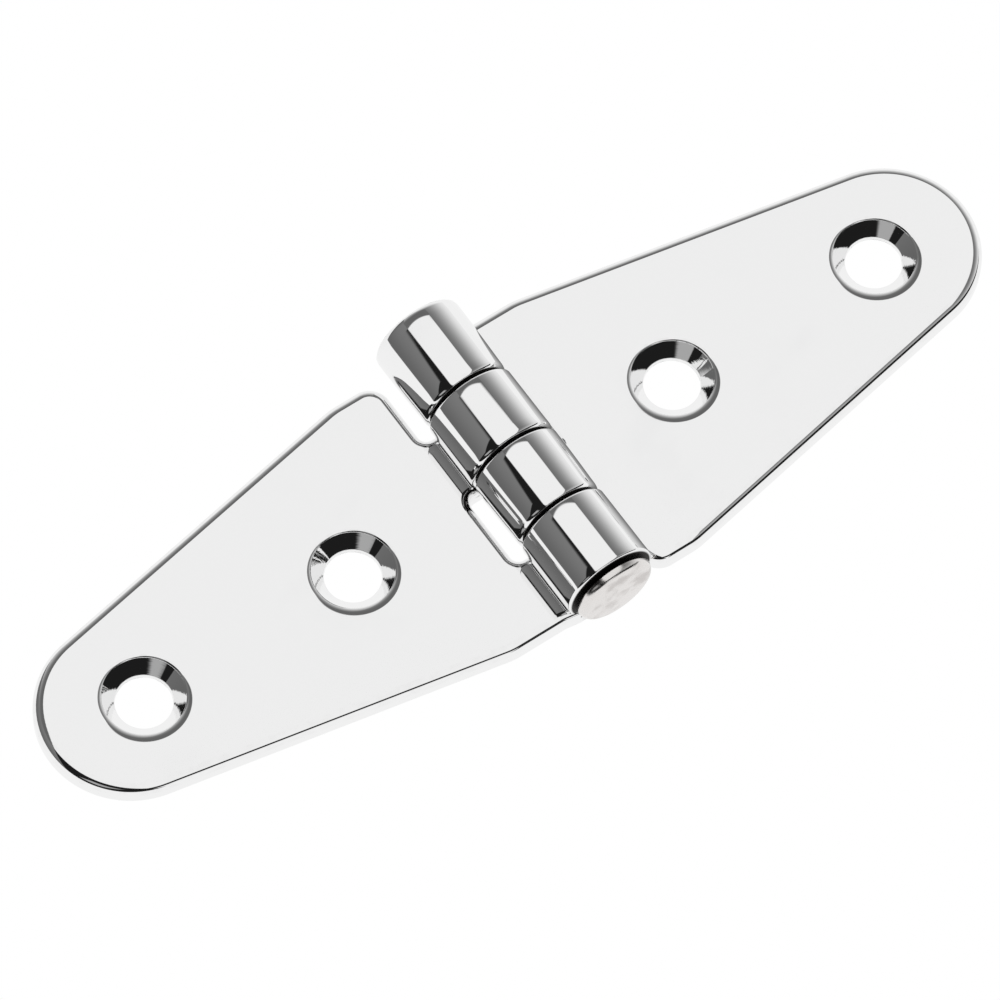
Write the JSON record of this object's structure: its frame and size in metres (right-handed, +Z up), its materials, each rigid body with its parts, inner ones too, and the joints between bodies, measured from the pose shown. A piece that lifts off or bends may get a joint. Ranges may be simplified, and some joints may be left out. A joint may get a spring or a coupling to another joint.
{
  "type": "strap hinge",
  "caption": "Tapered strap hinge in polished sheet, its two leaves rolled round one headed pin, with countersunk screw holes along each leaf.",
  "frame": {"origin": "on the mounting plane under the pin's axis, midway between the pin head's face and the barrel's far end", "axes": "+X along the leaves towards the right leaf, +Y along the pin away from its head, +Z up out of the mounting surface"},
  "size_m": [0.102, 0.0326, 0.0091],
  "materials": {
    "leaf_left": "mirror-polished stainless steel sheet",
    "leaf_right": "mirror-polished stainless steel sheet",
    "hinge_pin": "turned and lightly polished stainless steel"
  },
  "bodies": {
    "left_leaf": {"leaf_left": "leaf_left", "hinge_pin": "hinge_pin"},
    "right_leaf": {"leaf_right": "leaf_right"}
  },
  "joints": [
    {"name": "leaf_fold", "type": "hinge", "parent": "left_leaf", "child": "right_leaf", "pos_m": [0, 0.00025, 0.00456], "axis": [0, -1, 0], "range_deg": [-90, 180]}
  ]
}
